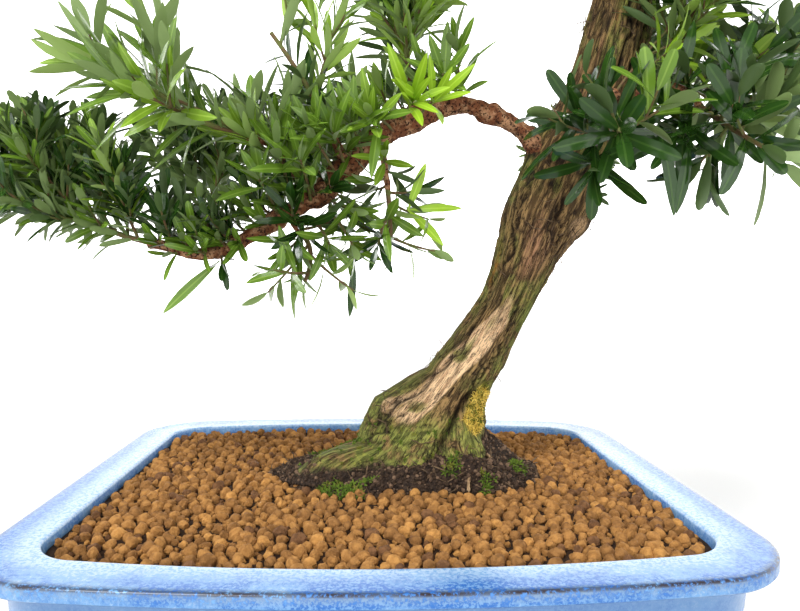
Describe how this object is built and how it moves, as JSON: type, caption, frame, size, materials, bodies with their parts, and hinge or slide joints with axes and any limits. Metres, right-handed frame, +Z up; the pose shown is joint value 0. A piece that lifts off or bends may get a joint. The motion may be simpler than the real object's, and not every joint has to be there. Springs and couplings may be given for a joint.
{
  "type": "potted podocarpus bonsai",
  "caption": "Leaning podocarpus bonsai with a flared trunk, a long low bough and leafy twig masses, standing in soil in a glazed rectangular pot.",
  "frame": {"origin": "middle of the pot's flat underside", "axes": "+X along the pot's long side, to the viewer's right; -Y towards the viewer; +Z up"},
  "size_m": [0.5368, 0.332, 0.617],
  "materials": {
    "glaze": "mottled blue glaze",
    "grit": "baked clay grains",
    "bark": "fibrous bark",
    "bough_bark": "rough young bark",
    "leaf": "glossy leaves"
  },
  "bodies": {
    "root": {"pot": "glaze", "soil": "grit", "trunk": "bark", "left_bough_inner": "bough_bark", "left_bough_middle": "bough_bark", "left_bough_outer": "bough_bark", "left_bough_tip": "bough_bark", "left_front_limb": "bough_bark", "left_rise_limb": "bough_bark", "left_middle_limb": "bough_bark", "left_inner_limb": "bough_bark", "left_back_limb": "bough_bark", "hanging_limb": "bough_bark", "under_limb": "bough_bark", "right_bough": "bough_bark", "right_front_limb": "bough_bark", "right_low_limb": "bough_bark", "right_top_limb": "bough_bark", "back_low_limb": "bough_bark", "right_back_limb": "bough_bark", "cut_stub": "bough_bark", "upper_left_bough": "bough_bark", "upper_left_front_limb": "bough_bark", "upper_right_bough": "bough_bark", "upper_back_bough": "bough_bark", "upper_front_bough": "bough_bark", "apex_left_limb": "bough_bark", "apex_right_limb": "bough_bark", "left_tip_foliage": "leaf", "left_front_foliage": "leaf", "left_rise_foliage": "leaf", "left_middle_foliage": "leaf", "left_inner_foliage": "leaf", "left_back_foliage": "leaf", "hanging_foliage": "leaf", "under_foliage": "leaf", "right_tip_foliage": "leaf", "right_front_foliage": "leaf", "right_low_foliage": "leaf", "right_top_foliage": "leaf", "right_back_foliage": "leaf", "back_low_foliage": "leaf", "upper_left_foliage": "leaf", "upper_left_front_foliage": "leaf", "upper_right_foliage": "leaf", "upper_back_foliage": "leaf", "upper_front_foliage": "leaf", "apex_left_foliage": "leaf", "apex_right_foliage": "leaf", "apex_foliage": "leaf"}
  },
  "joints": []
}
